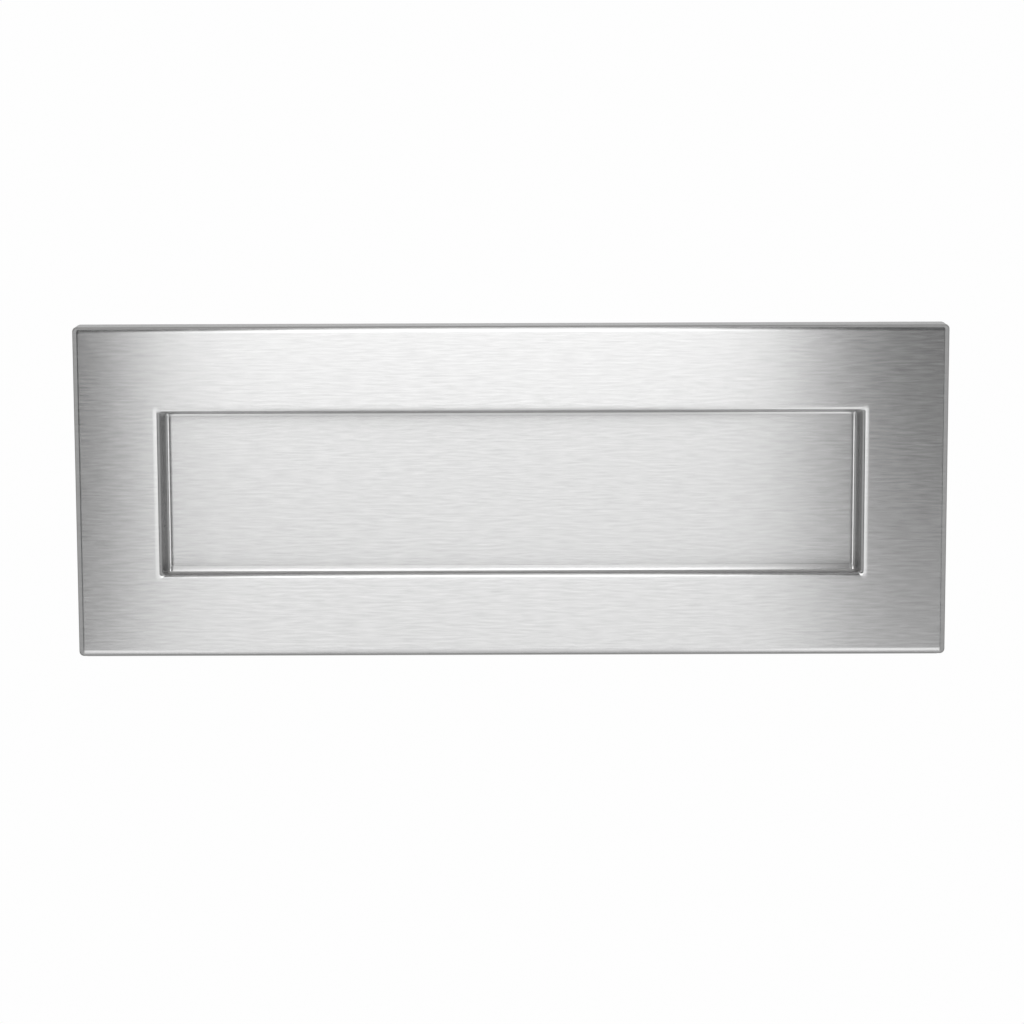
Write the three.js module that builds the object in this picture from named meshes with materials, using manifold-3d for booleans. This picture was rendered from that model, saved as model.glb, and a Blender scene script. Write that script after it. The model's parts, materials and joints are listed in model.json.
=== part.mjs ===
// Letter plate with a sprung flap, seen from the street side.
//
// Millimetres, +X to the right, +Z up. The front faces -Y and the door is on the +Y side. The origin is the
// centre of the plate on the plane where its rim rests on the door. The frame is hollow at the back. The
// flap lies behind the frame's aperture and swings inward about a rod along its top edge.

import * as THREE from 'three';
import { mergeVertices } from 'three/addons/utils/BufferGeometryUtils.js';
import Module from 'manifold-3d';

// Frame, outside
const PLATE_WIDTH = 265;
const PLATE_HEIGHT = 101.6;
const PLATE_DEPTH = 8;
const CORNER_RADIUS = 2;
const CORNER_SHRINK = 0.5; // lost from the corner radius for each millimetre further in
const SMALLEST_CORNER = 0.6;
const SIDE_DRAFT = 0.2; // how far the outer sides lean in for each millimetre of depth
const SHOULDER_RADIUS = 2.2; // the round edge between the sides and the face
const CORNER_STEPS = 4;
const ROUND_STEPS = 5;

// Frame, aperture
const APERTURE_WIDTH = 208.6; // clear width at the foot of the wall
const APERTURE_HEIGHT = 45.8;
const APERTURE_CORNER = 0.35;
const APERTURE_CORNER_GROWTH = 0.4; // gained by the corner radius for each millimetre further out
const LIP_RADIUS = 1.2;
const LIP_OFFSET = 2.2; // from the foot of the wall out to where the face turns into the lip
const WALL_ANGLE = THREE.MathUtils.degToRad(2);
const FOOT_RADIUS = 0.8;
const FOOT_CENTRE_OUTSET = 0.2;
const FOOT_BACK_Y = -0.35; // back face of the foot, which the flap closes up to
const FOOT_TIP = 0.2; // thickness of the foot's edge
const FOOT_EDGE_STEP = 0.06;
const SILL_DROP = 0.8; // how much further the foot sweeps out below the aperture, as a sill
const FOOT_WIDTH = 2.6;

// Frame, back
const FACE_THICKNESS = 2.2;
const RIM_THICKNESS = 2.4;
const WALL_THICKNESS = 2.2;
const HOLLOW_Y = -PLATE_DEPTH + FACE_THICKNESS;
const BOSS_ROOT = 1; // how far a boss reaches into the face, so that the two are one casting
const HOLE_INTO_FACE = 0.5;
const HOLE_FLOOR_Y = HOLLOW_Y - HOLE_INTO_FACE;
const ROUND_SEGMENTS = 20;
const CUT_CLEARANCE = 1; // how far a cutting tool reaches past the surface that it opens

// Foam seal in the corner between the rim and the back of the face
const SEAL_WIDTH = 3.5;
const SEAL_GAP = 0.15;

// Flap
const FLAP_WIDTH = 215.2;
const FLAP_TOP = 26.2;
const FLAP_BOTTOM = -32;
const FLAP_THICKNESS = 2.5;
const FLAP_GAP = 0.15; // behind the foot of the aperture wall
const FLAP_BEVEL = 0.35;
const FLAP_FRONT_Y = FOOT_BACK_Y + FLAP_GAP;
const FLAP_BACK_Y = FLAP_FRONT_Y + FLAP_THICKNESS;

// Hinge rod, and the knuckles of the flap that turn on it
const HINGE_Y = 3.8;
const HINGE_Z = 29.5;
const ROD_RADIUS = 2;
const ROD_HALF_LENGTH = 114.5;
const BORE_GAP = 0.15;
const KNUCKLE_RADIUS = HINGE_Y - FLAP_FRONT_Y;
const KNUCKLE_ROOT_Z = 19;
const KNUCKLES = [[-107.6, -99.6], [-82, -76], [-5, 5], [76, 82], [99.6, 107.6]];

// Brackets that hold the rod, and their screws
const EAR_INNER_X = 108.6;
const EAR_THICKNESS = 2.2;
const EAR_RADIUS = 4.2;
const BRACKET_OUTER_X = 124.3;
const BRACKET_LOW_Z = 33.6;
const BRACKET_HIGH_Z = 43;
const BRACKET_THICKNESS = 2;
const BRACKET_SEAT_Y = -1.4;
const BRACKET_BACK_Y = BRACKET_SEAT_Y + BRACKET_THICKNESS;
const SEAT_INSET = 0.8;
const SCREW_X = [114.6, 121];
const SCREW_Z = 38.3;
const SCREW_RADIUS = 1.5;
const SCREW_HEAD_RADIUS = 2.8;
const SCREW_HEAD_HEIGHT = 1.9;
const SCREW_END_GAP = 0.4; // left at the floor of the hole
const SCREW_TURN = 0.5; // how far each cross recess has been driven past upright, in radians

// Clips in grooves near the ends of the rod
const CLIP_X = 111.6;
const CLIP_THICKNESS = 0.8;
const CLIP_RADIUS = 3.7;
const GROOVE_RADIUS = 1.5;
const GROOVE_WIDTH = 1.2;
const CLIP_OPENING = THREE.MathUtils.degToRad(50);

// Closing springs, wound round the rod between two knuckles
const SPRING_WIRE_RADIUS = 0.5;
const SPRING_COIL_RADIUS = 3.1;
const SPRING_TURNS = 8;
const SPRING_START_X = 85.5;
const SPRING_END_X = 96.5;
const SPRING_STEPS = 112;
const FIXED_LEG_ANGLE = THREE.MathUtils.degToRad(45);
const FIXED_LEG_LENGTH = 15;
const MOVING_LEG_ANGLE = THREE.MathUtils.degToRad(-12.5);
const MOVING_LEG_LENGTH = 17.5;

// Rubber buffers that the closed flap rests on
const BUFFER_X = 80;
const BUFFER_Z = -28.9;
const BUFFER_RADIUS = 2.5;
const BUFFER_STEM_RADIUS = 1.1;
const BUFFER_STEM_LENGTH = 2.2;
const BUFFER_CHAMFER = 0.5;
const BUFFER_GAP = 0.05;
const POST_RADIUS = 3;
const POST_END_Y = -2.2;

// Studs through the door, with their washers and nuts on the inside of the door
const STUD_X = 119;
const STUD_RADIUS = 3;
const STUD_BOSS_RADIUS = 5.5;
const STUD_BOSS_END_Y = -0.8;
const STUD_END_Y = 57;
const STUD_CHAMFER = 0.8;
const DOOR_THICKNESS = 44;
const WASHER_RADIUS = 9;
const WASHER_THICKNESS = 1.6;
const NUT_ACROSS_FLATS = 10;
const NUT_HEIGHT = 5;
const FASTENER_GAP = 0.1;

const wasm = await Module();
wasm.setup();

// A closed geometry as a solid that can be joined and cut.
function solidOf(geometry) {
  const bare = geometry.clone();
  bare.deleteAttribute('normal');
  bare.deleteAttribute('uv');
  const merged = mergeVertices(bare);
  return new wasm.Manifold(new wasm.Mesh({
    numProp: 3,
    vertProperties: Float32Array.from(merged.attributes.position.array),
    triVerts: Uint32Array.from(merged.index.array),
  }));
}

function geometryOf(solid) {
  const mesh = solid.getMesh();
  const geometry = new THREE.BufferGeometry();
  geometry.setAttribute('position', new THREE.BufferAttribute(Float32Array.from(mesh.vertProperties), 3));
  geometry.setIndex(new THREE.BufferAttribute(Uint32Array.from(mesh.triVerts), 1));
  geometry.computeVertexNormals();
  return geometry;
}

// A cylinder along Y between two planes.
function cylinderAlongY(radius, fromY, toY, x = 0, z = 0) {
  const cylinder = new THREE.CylinderGeometry(radius, radius, toY - fromY, ROUND_SEGMENTS);
  return cylinder.translate(x, (fromY + toY) / 2, z);
}

function boxBetween(low, high) {
  const size = high.map((value, axis) => value - low[axis]);
  const middle = high.map((value, axis) => (value + low[axis]) / 2);
  return new THREE.BoxGeometry(...size).translate(...middle);
}

// An outline drawn in the plane of Y and Z, extruded along X.
function extrudedAlongX(outline, fromX, toX) {
  const geometry = new THREE.ExtrudeGeometry(outline, {
    depth: toX - fromX,
    bevelEnabled: false,
    curveSegments: ROUND_STEPS,
  });
  const turn = new THREE.Matrix4().set(0, 0, 1, fromX, 1, 0, 0, 0, 0, 1, 0, 0, 0, 0, 0, 1);
  return geometry.applyMatrix4(turn);
}

// The same body on the other side of the plate.
function mirrored(geometry) {
  const other = geometry.index ? geometry.clone() : mergeVertices(geometry.clone());
  other.scale(-1, 1, 1);
  const corners = other.index.array;
  for (let first = 0; first < corners.length; first += 3) {
    const second = corners[first + 1];
    corners[first + 1] = corners[first + 2];
    corners[first + 2] = second;
  }
  other.computeVertexNormals();
  return other;
}

function onSide(geometry, side) {
  return side < 0 ? mirrored(geometry) : geometry;
}

// The points of a rectangle with round corners, in the order of a right-hand turn about -Y.
function ringPoints(ring) {
  const points = [];
  for (let corner = 0; corner < 4; corner += 1) {
    const sideX = corner === 0 || corner === 3 ? 1 : -1;
    const sideZ = corner < 2 ? 1 : -1;
    for (let step = 0; step <= CORNER_STEPS; step += 1) {
      const angle = (corner + step / CORNER_STEPS) * (Math.PI / 2);
      points.push([
        sideX * (ring.halfWidth - ring.radius) + ring.radius * Math.cos(angle),
        ring.y,
        ring.centreZ + sideZ * (ring.halfHeight - ring.radius) + ring.radius * Math.sin(angle),
      ]);
    }
  }
  return points;
}

// A closed band through the rings, in order, and from the last back to the first.
function loftedLoop(rings) {
  const positions = rings.flatMap((ring) => ringPoints(ring).flat());
  const count = 4 * (CORNER_STEPS + 1);
  const triangles = [];
  for (let row = 0; row < rings.length; row += 1) {
    const here = row * count;
    const next = ((row + 1) % rings.length) * count;
    for (let first = 0; first < count; first += 1) {
      const second = (first + 1) % count;
      triangles.push(here + first, here + second, next + second);
      triangles.push(here + first, next + second, next + first);
    }
  }
  const geometry = new THREE.BufferGeometry();
  geometry.setAttribute('position', new THREE.Float32BufferAttribute(positions, 3));
  geometry.setIndex(triangles);
  geometry.computeVertexNormals();
  return geometry;
}

// A ring that lies a given distance inside the plate's outline at the door.
function outerRing(inset, y) {
  return {
    halfWidth: PLATE_WIDTH / 2 - inset,
    halfHeight: PLATE_HEIGHT / 2 - inset,
    centreZ: 0,
    radius: Math.max(CORNER_RADIUS - inset * CORNER_SHRINK, SMALLEST_CORNER),
    y,
  };
}

// A ring that lies a given distance outside the foot of the aperture wall, and a drop further below.
function apertureRing(outset, y, drop = SILL_DROP * Math.min(outset / FOOT_RADIUS, 1)) {
  return {
    halfWidth: APERTURE_WIDTH / 2 + outset,
    halfHeight: (APERTURE_HEIGHT + drop) / 2 + outset,
    centreZ: -drop / 2,
    radius: APERTURE_CORNER + outset * APERTURE_CORNER_GROWTH,
    y,
  };
}

// The outer side from the door forward, and the shoulder round to the face.
function outerSurface() {
  const lean = Math.atan(SIDE_DRAFT);
  const centreY = -PLATE_DEPTH + SHOULDER_RADIUS;
  const sideEndY = centreY + SHOULDER_RADIUS * Math.sin(lean);
  const sideEndInset = -sideEndY * SIDE_DRAFT;
  const centreInset = sideEndInset + SHOULDER_RADIUS * Math.cos(lean);
  const rings = [outerRing(0, 0)];
  for (let step = 0; step <= ROUND_STEPS; step += 1) {
    const angle = -lean + (step / ROUND_STEPS) * (Math.PI / 2 + lean);
    const inset = centreInset - SHOULDER_RADIUS * Math.cos(angle);
    rings.push(outerRing(inset, centreY - SHOULDER_RADIUS * Math.sin(angle)));
  }
  return rings;
}

// The lip, the steep wall and its foot, from the face back to the flap.
function apertureSurface() {
  const lipTurn = Math.PI / 2 - WALL_ANGLE;
  const lipCentreY = -PLATE_DEPTH + LIP_RADIUS;
  const footCentreY = FOOT_BACK_Y - FOOT_TIP - FOOT_RADIUS;
  const rings = [];
  for (let step = 0; step <= ROUND_STEPS; step += 1) {
    const angle = (step / ROUND_STEPS) * lipTurn;
    const outset = LIP_OFFSET - LIP_RADIUS * Math.sin(angle);
    rings.push(apertureRing(outset, lipCentreY - LIP_RADIUS * Math.cos(angle)));
  }
  for (let step = 0; step <= ROUND_STEPS; step += 1) {
    const angle = WALL_ANGLE + (step / ROUND_STEPS) * lipTurn;
    const outset = FOOT_CENTRE_OUTSET + FOOT_RADIUS * Math.cos(angle);
    rings.push(apertureRing(outset, footCentreY + FOOT_RADIUS * Math.sin(angle)));
  }
  rings.push(apertureRing(0, FOOT_BACK_Y - FOOT_TIP + FOOT_EDGE_STEP));
  rings.push(apertureRing(0, FOOT_BACK_Y));
  return rings;
}

// The back of the foot, the hollow and the inner side of the rim.
function hollowSurface() {
  const rimInset = -HOLLOW_Y * SIDE_DRAFT + RIM_THICKNESS;
  const wallRun = (FOOT_BACK_Y - HOLLOW_Y) * Math.tan(WALL_ANGLE);
  return [
    apertureRing(FOOT_WIDTH, FOOT_BACK_Y, 0),
    apertureRing(WALL_THICKNESS + FOOT_RADIUS + wallRun, HOLLOW_Y),
    outerRing(rimInset, HOLLOW_Y),
    outerRing(RIM_THICKNESS, 0),
  ];
}

function frameGeometry() {
  let casting = solidOf(loftedLoop([...outerSurface(), ...apertureSurface(), ...hollowSurface()]));
  const rootY = HOLLOW_Y - BOSS_ROOT;
  for (const side of [-1, 1]) {
    const seatX = [side * (EAR_INNER_X + SEAT_INSET), side * (BRACKET_OUTER_X - SEAT_INSET)];
    const seat = boxBetween(
      [Math.min(...seatX), rootY, BRACKET_LOW_Z + SEAT_INSET],
      [Math.max(...seatX), BRACKET_SEAT_Y, BRACKET_HIGH_Z - SEAT_INSET],
    );
    casting = casting.add(solidOf(seat));
    const boss = cylinderAlongY(STUD_BOSS_RADIUS, rootY, STUD_BOSS_END_Y, side * STUD_X);
    casting = casting.add(solidOf(boss));
    const post = cylinderAlongY(POST_RADIUS, rootY, POST_END_Y, side * BUFFER_X, BUFFER_Z);
    casting = casting.add(solidOf(post));
  }
  for (const side of [-1, 1]) {
    const studHole = cylinderAlongY(STUD_RADIUS + BORE_GAP, HOLE_FLOOR_Y, CUT_CLEARANCE, side * STUD_X);
    casting = casting.subtract(solidOf(studHole));
    for (const x of SCREW_X) {
      const screwHole = cylinderAlongY(
        SCREW_RADIUS + BORE_GAP, HOLE_FLOOR_Y, CUT_CLEARANCE, side * x, SCREW_Z,
      );
      casting = casting.subtract(solidOf(screwHole));
    }
    const stemHole = cylinderAlongY(
      BUFFER_STEM_RADIUS + BORE_GAP, HOLE_FLOOR_Y, CUT_CLEARANCE, side * BUFFER_X, BUFFER_Z,
    );
    casting = casting.subtract(solidOf(stemHole));
  }
  return geometryOf(casting);
}

// A foam strip all round, flush with the rim where it meets the door.
function sealGeometry() {
  const backInset = RIM_THICKNESS + SEAL_GAP;
  const frontInset = backInset - HOLLOW_Y * SIDE_DRAFT;
  const frontY = HOLLOW_Y + SEAL_GAP;
  return loftedLoop([
    outerRing(backInset, 0),
    outerRing(frontInset, frontY),
    outerRing(frontInset + SEAL_WIDTH, frontY),
    outerRing(frontInset + SEAL_WIDTH, 0),
  ]);
}

// The flap's plate and its knuckles, about the hinge axis.
function flapGeometry() {
  const halfWidth = FLAP_WIDTH / 2 - FLAP_BEVEL;
  const outline = new THREE.Shape();
  outline.moveTo(-halfWidth, FLAP_BOTTOM + FLAP_BEVEL);
  outline.lineTo(halfWidth, FLAP_BOTTOM + FLAP_BEVEL);
  outline.lineTo(halfWidth, FLAP_TOP - FLAP_BEVEL);
  outline.lineTo(-halfWidth, FLAP_TOP - FLAP_BEVEL);
  outline.closePath();
  const plate = new THREE.ExtrudeGeometry(outline, {
    depth: FLAP_THICKNESS - 2 * FLAP_BEVEL,
    bevelThickness: FLAP_BEVEL,
    bevelSize: FLAP_BEVEL,
    bevelSegments: 2,
  });
  plate.rotateX(Math.PI / 2).translate(0, FLAP_BACK_Y - FLAP_BEVEL, 0);
  let flap = solidOf(plate);

  const knuckle = new THREE.Shape();
  knuckle.moveTo(FLAP_FRONT_Y, KNUCKLE_ROOT_Z);
  knuckle.lineTo(FLAP_BACK_Y, KNUCKLE_ROOT_Z);
  knuckle.lineTo(HINGE_Y + KNUCKLE_RADIUS, HINGE_Z);
  knuckle.absarc(HINGE_Y, HINGE_Z, KNUCKLE_RADIUS, 0, Math.PI, false);
  knuckle.closePath();
  for (const [fromX, toX] of KNUCKLES) {
    flap = flap.add(solidOf(extrudedAlongX(knuckle, fromX, toX)));
  }
  const bore = new THREE.CylinderGeometry(
    ROD_RADIUS + BORE_GAP, ROD_RADIUS + BORE_GAP, FLAP_WIDTH + 2 * CUT_CLEARANCE, ROUND_SEGMENTS,
  );
  bore.rotateZ(Math.PI / 2).translate(0, HINGE_Y, HINGE_Z);
  return geometryOf(flap.subtract(solidOf(bore))).translate(0, -HINGE_Y, -HINGE_Z);
}

// The rod stands along Y here, and its mesh is turned to lie along X.
function rodGeometry() {
  const chamfer = 0.4;
  const grooveStart = CLIP_X - GROOVE_WIDTH / 2;
  const grooveEnd = CLIP_X + GROOVE_WIDTH / 2;
  const half = [
    [GROOVE_RADIUS, grooveStart],
    [GROOVE_RADIUS, grooveEnd],
    [ROD_RADIUS, grooveEnd],
    [ROD_RADIUS, ROD_HALF_LENGTH - chamfer],
    [ROD_RADIUS - chamfer, ROD_HALF_LENGTH],
    [0, ROD_HALF_LENGTH],
  ];
  const right = [[ROD_RADIUS, grooveStart], ...half];
  const left = right.map(([radius, along]) => [radius, -along]).reverse();
  const profile = [...left, ...right].map(([radius, along]) => new THREE.Vector2(radius, along));
  return new THREE.LatheGeometry(profile, ROUND_SEGMENTS);
}

// An ear with the rod's eye, and a foot plate with two screw holes.
function bracketGeometry() {
  const ear = new THREE.Shape();
  ear.moveTo(BRACKET_SEAT_Y, BRACKET_HIGH_Z);
  ear.lineTo(BRACKET_SEAT_Y, BRACKET_LOW_Z);
  ear.lineTo(HINGE_Y - EAR_RADIUS, HINGE_Z);
  ear.absarc(HINGE_Y, HINGE_Z, EAR_RADIUS, Math.PI, 2 * Math.PI, false);
  ear.lineTo(HINGE_Y + EAR_RADIUS, BRACKET_LOW_Z);
  ear.lineTo(BRACKET_BACK_Y, BRACKET_HIGH_Z);
  ear.closePath();
  const footPlate = boxBetween(
    [EAR_INNER_X, BRACKET_SEAT_Y, BRACKET_LOW_Z],
    [BRACKET_OUTER_X, BRACKET_BACK_Y, BRACKET_HIGH_Z],
  );
  let bracket = solidOf(extrudedAlongX(ear, EAR_INNER_X, EAR_INNER_X + EAR_THICKNESS));
  bracket = bracket.add(solidOf(footPlate));
  const eye = new THREE.CylinderGeometry(
    ROD_RADIUS + BORE_GAP, ROD_RADIUS + BORE_GAP, EAR_THICKNESS + 2 * CUT_CLEARANCE, ROUND_SEGMENTS,
  );
  eye.rotateZ(Math.PI / 2).translate(EAR_INNER_X + EAR_THICKNESS / 2, HINGE_Y, HINGE_Z);
  bracket = bracket.subtract(solidOf(eye));
  for (const x of SCREW_X) {
    const hole = cylinderAlongY(
      SCREW_RADIUS + BORE_GAP, BRACKET_SEAT_Y - CUT_CLEARANCE, BRACKET_BACK_Y + CUT_CLEARANCE, x, SCREW_Z,
    );
    bracket = bracket.subtract(solidOf(hole));
  }
  return geometryOf(bracket);
}

// A pan-head screw along Y, with the underside of its head at the origin and a cross recess.
function screwGeometry() {
  const shankEnd = HOLE_FLOOR_Y + SCREW_END_GAP - BRACKET_BACK_Y;
  const tip = 0.5;
  const crown = 0.6;
  const profile = [
    [0, shankEnd],
    [SCREW_RADIUS - tip, shankEnd],
    [SCREW_RADIUS, shankEnd + tip],
    [SCREW_RADIUS, 0],
    [SCREW_HEAD_RADIUS, 0],
    [SCREW_HEAD_RADIUS, SCREW_HEAD_HEIGHT - crown],
    [SCREW_HEAD_RADIUS - crown, SCREW_HEAD_HEIGHT],
    [0, SCREW_HEAD_HEIGHT],
  ].map(([radius, along]) => new THREE.Vector2(radius, along));
  let screw = solidOf(new THREE.LatheGeometry(profile, ROUND_SEGMENTS));
  const recessDepth = 1.1;
  const recessLength = 1.6;
  const recessWidth = 0.35;
  for (const [halfX, halfZ] of [[recessLength, recessWidth], [recessWidth, recessLength]]) {
    const slot = boxBetween(
      [-halfX, SCREW_HEAD_HEIGHT - recessDepth, -halfZ],
      [halfX, SCREW_HEAD_HEIGHT + CUT_CLEARANCE, halfZ],
    );
    screw = screw.subtract(solidOf(slot));
  }
  return geometryOf(screw);
}

// An open ring that snaps into the groove of the rod.
function clipGeometry() {
  const clip = new THREE.Shape();
  const start = -Math.PI / 2 + CLIP_OPENING;
  const end = (3 * Math.PI) / 2 - CLIP_OPENING;
  clip.absarc(0, 0, CLIP_RADIUS, start, end, false);
  clip.absarc(0, 0, GROOVE_RADIUS + BORE_GAP, end, start, true);
  clip.closePath();
  return extrudedAlongX(clip, -CLIP_THICKNESS / 2, CLIP_THICKNESS / 2);
}

// The centre line of a torsion spring about the hinge axis: the fixed leg, the turns, then the moving leg.
class SpringLine extends THREE.Curve {
  constructor() {
    super();
    this.turn = -(2 * Math.PI * SPRING_TURNS + FIXED_LEG_ANGLE - MOVING_LEG_ANGLE);
    this.coilLength = Math.hypot(this.turn * SPRING_COIL_RADIUS, SPRING_END_X - SPRING_START_X);
  }

  getPoint(share) {
    const total = FIXED_LEG_LENGTH + this.coilLength + MOVING_LEG_LENGTH;
    const along = share * total - FIXED_LEG_LENGTH;
    const onCoil = THREE.MathUtils.clamp(along / this.coilLength, 0, 1);
    const beyond = along - onCoil * this.coilLength;
    const angle = FIXED_LEG_ANGLE + onCoil * this.turn;
    return new THREE.Vector3(
      THREE.MathUtils.lerp(SPRING_START_X, SPRING_END_X, onCoil),
      SPRING_COIL_RADIUS * Math.cos(angle) + beyond * Math.sin(angle),
      SPRING_COIL_RADIUS * Math.sin(angle) - beyond * Math.cos(angle),
    );
  }
}

function springGeometry() {
  const wire = new THREE.Shape();
  wire.absarc(0, 0, SPRING_WIRE_RADIUS, 0, 2 * Math.PI, false);
  return new THREE.ExtrudeGeometry(wire, {
    steps: SPRING_STEPS,
    curveSegments: 3,
    extrudePath: new SpringLine(),
  });
}

// A rubber button along Y with its stem pressed into a post, and its contact face at the origin.
function bufferGeometry() {
  const seat = POST_END_Y - FLAP_FRONT_Y + 2 * BUFFER_GAP;
  const profile = [
    [0, seat - BUFFER_STEM_LENGTH],
    [BUFFER_STEM_RADIUS, seat - BUFFER_STEM_LENGTH],
    [BUFFER_STEM_RADIUS, seat],
    [BUFFER_RADIUS, seat],
    [BUFFER_RADIUS, -BUFFER_CHAMFER],
    [BUFFER_RADIUS - BUFFER_CHAMFER, 0],
    [0, 0],
  ].map(([radius, along]) => new THREE.Vector2(radius, along));
  return new THREE.LatheGeometry(profile, ROUND_SEGMENTS);
}

function studGeometry() {
  const profile = [
    [0, HOLE_FLOOR_Y + FASTENER_GAP],
    [STUD_RADIUS, HOLE_FLOOR_Y + FASTENER_GAP],
    [STUD_RADIUS, STUD_END_Y - STUD_CHAMFER],
    [STUD_RADIUS - STUD_CHAMFER, STUD_END_Y],
    [0, STUD_END_Y],
  ].map(([radius, along]) => new THREE.Vector2(radius, along));
  return new THREE.LatheGeometry(profile, ROUND_SEGMENTS);
}

function washerGeometry() {
  const inner = STUD_RADIUS + 2 * FASTENER_GAP;
  const profile = [
    [inner, 0],
    [WASHER_RADIUS, 0],
    [WASHER_RADIUS, WASHER_THICKNESS],
    [inner, WASHER_THICKNESS],
    [inner, 0],
  ].map(([radius, along]) => new THREE.Vector2(radius, along));
  return new THREE.LatheGeometry(profile, 2 * ROUND_SEGMENTS);
}

// A hexagon nut along Y with chamfered corners and a smooth bore.
function nutGeometry() {
  const acrossCorners = NUT_ACROSS_FLATS / Math.cos(Math.PI / 6);
  const hexagon = new THREE.CylinderGeometry(acrossCorners / 2, acrossCorners / 2, NUT_HEIGHT, 6);
  const halfHeight = NUT_HEIGHT / 2;
  const chamfer = 0.4;
  const round = [
    [0, -halfHeight],
    [NUT_ACROSS_FLATS / 2, -halfHeight],
    [acrossCorners / 2, -halfHeight + chamfer],
    [acrossCorners / 2, halfHeight - chamfer],
    [NUT_ACROSS_FLATS / 2, halfHeight],
    [0, halfHeight],
  ].map(([radius, along]) => new THREE.Vector2(radius, along));
  const bore = cylinderAlongY(STUD_RADIUS + BORE_GAP, -NUT_HEIGHT, NUT_HEIGHT);
  const nut = solidOf(hexagon).intersect(solidOf(new THREE.LatheGeometry(round, 2 * ROUND_SEGMENTS)));
  return geometryOf(nut.subtract(solidOf(bore)));
}

const FINISHES = {
  satinSteel: { color: 0xc4c6c8, roughness: 0.35, metalness: 1 },
  springSteel: { color: 0x8f9296, roughness: 0.3, metalness: 1 },
  zincSteel: { color: 0xb3b4b0, roughness: 0.4, metalness: 1 },
  rubber: { color: 0x1b1b1c, roughness: 0.9, metalness: 0 },
  foam: { color: 0x2a2b2d, roughness: 1, metalness: 0 },
};

function piece(name, geometry, finish) {
  const mesh = new THREE.Mesh(geometry, new THREE.MeshStandardMaterial(FINISHES[finish]));
  mesh.name = name;
  return mesh;
}

const letterPlate = new THREE.Group();
letterPlate.add(piece('frame', frameGeometry(), 'satinSteel'));
letterPlate.add(piece('door_seal', sealGeometry(), 'foam'));

const hinge = new THREE.Group();
hinge.position.set(0, HINGE_Y, HINGE_Z);
letterPlate.add(hinge);

const rod = piece('hinge_rod', rodGeometry(), 'zincSteel');
rod.rotation.z = -Math.PI / 2;
hinge.add(rod);

const flap = new THREE.Group();
flap.add(piece('flap', flapGeometry(), 'satinSteel'));
hinge.add(flap);

for (const [sideName, side] of [['left', -1], ['right', 1]]) {
  letterPlate.add(piece(`hinge_bracket_${sideName}`, onSide(bracketGeometry(), side), 'zincSteel'));

  for (const [place, x] of [['inner', SCREW_X[0]], ['outer', SCREW_X[1]]]) {
    const screw = piece(`bracket_screw_${sideName}_${place}`, screwGeometry(), 'zincSteel');
    screw.position.set(side * x, BRACKET_BACK_Y + FASTENER_GAP, SCREW_Z);
    screw.rotation.y = side * SCREW_TURN;
    letterPlate.add(screw);
  }

  const clip = piece(`rod_clip_${sideName}`, clipGeometry(), 'springSteel');
  clip.position.x = side * CLIP_X;
  hinge.add(clip);

  hinge.add(piece(`closing_spring_${sideName}`, onSide(springGeometry(), side), 'springSteel'));

  const buffer = piece(`flap_buffer_${sideName}`, bufferGeometry(), 'rubber');
  buffer.position.set(side * BUFFER_X, FLAP_FRONT_Y - BUFFER_GAP, BUFFER_Z);
  letterPlate.add(buffer);

  const fixing = new THREE.Group();
  fixing.position.x = side * STUD_X;
  letterPlate.add(fixing);
  fixing.add(piece(`fixing_stud_${sideName}`, studGeometry(), 'zincSteel'));

  const washer = piece(`stud_washer_${sideName}`, washerGeometry(), 'zincSteel');
  washer.position.y = DOOR_THICKNESS;
  fixing.add(washer);

  const nut = piece(`stud_nut_${sideName}`, nutGeometry(), 'zincSteel');
  nut.position.y = DOOR_THICKNESS + WASHER_THICKNESS + FASTENER_GAP + NUT_HEIGHT / 2;
  fixing.add(nut);
}

export default letterPlate;
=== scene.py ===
"""The looks of a satin letter plate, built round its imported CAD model. Lengths are in metres."""
import itertools
import json
import math

import bmesh
import bpy
from mathutils import Matrix, Vector


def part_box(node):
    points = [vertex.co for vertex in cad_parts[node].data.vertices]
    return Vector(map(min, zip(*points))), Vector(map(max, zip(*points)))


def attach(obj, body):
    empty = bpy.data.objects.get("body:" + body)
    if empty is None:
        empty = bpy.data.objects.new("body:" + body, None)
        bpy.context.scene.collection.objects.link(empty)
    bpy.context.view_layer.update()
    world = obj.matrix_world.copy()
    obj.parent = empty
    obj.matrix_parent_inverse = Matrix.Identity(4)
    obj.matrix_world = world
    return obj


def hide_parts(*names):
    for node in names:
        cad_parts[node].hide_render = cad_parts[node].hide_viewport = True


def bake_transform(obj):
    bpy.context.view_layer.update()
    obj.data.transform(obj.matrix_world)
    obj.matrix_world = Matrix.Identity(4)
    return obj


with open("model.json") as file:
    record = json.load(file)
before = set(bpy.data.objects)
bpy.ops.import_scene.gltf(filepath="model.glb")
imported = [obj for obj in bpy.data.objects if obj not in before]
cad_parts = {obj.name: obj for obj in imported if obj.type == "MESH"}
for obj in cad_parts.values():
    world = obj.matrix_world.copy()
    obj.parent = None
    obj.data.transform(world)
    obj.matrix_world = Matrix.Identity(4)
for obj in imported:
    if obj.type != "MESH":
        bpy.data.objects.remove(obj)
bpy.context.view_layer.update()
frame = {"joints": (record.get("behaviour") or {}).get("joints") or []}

MM = 0.001
SIDES = (("left", -1), ("right", 1))
QUARTER = math.pi / 2
CORNER_SIGNS = ((1, 1), (-1, 1), (-1, -1), (1, -1))
SAME_POINT = 1e-7
SAME_PLANE = 1e-6
NEARLY_HALF = 0.49  # of an edge, so that the rounds at its two ends never meet

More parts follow.
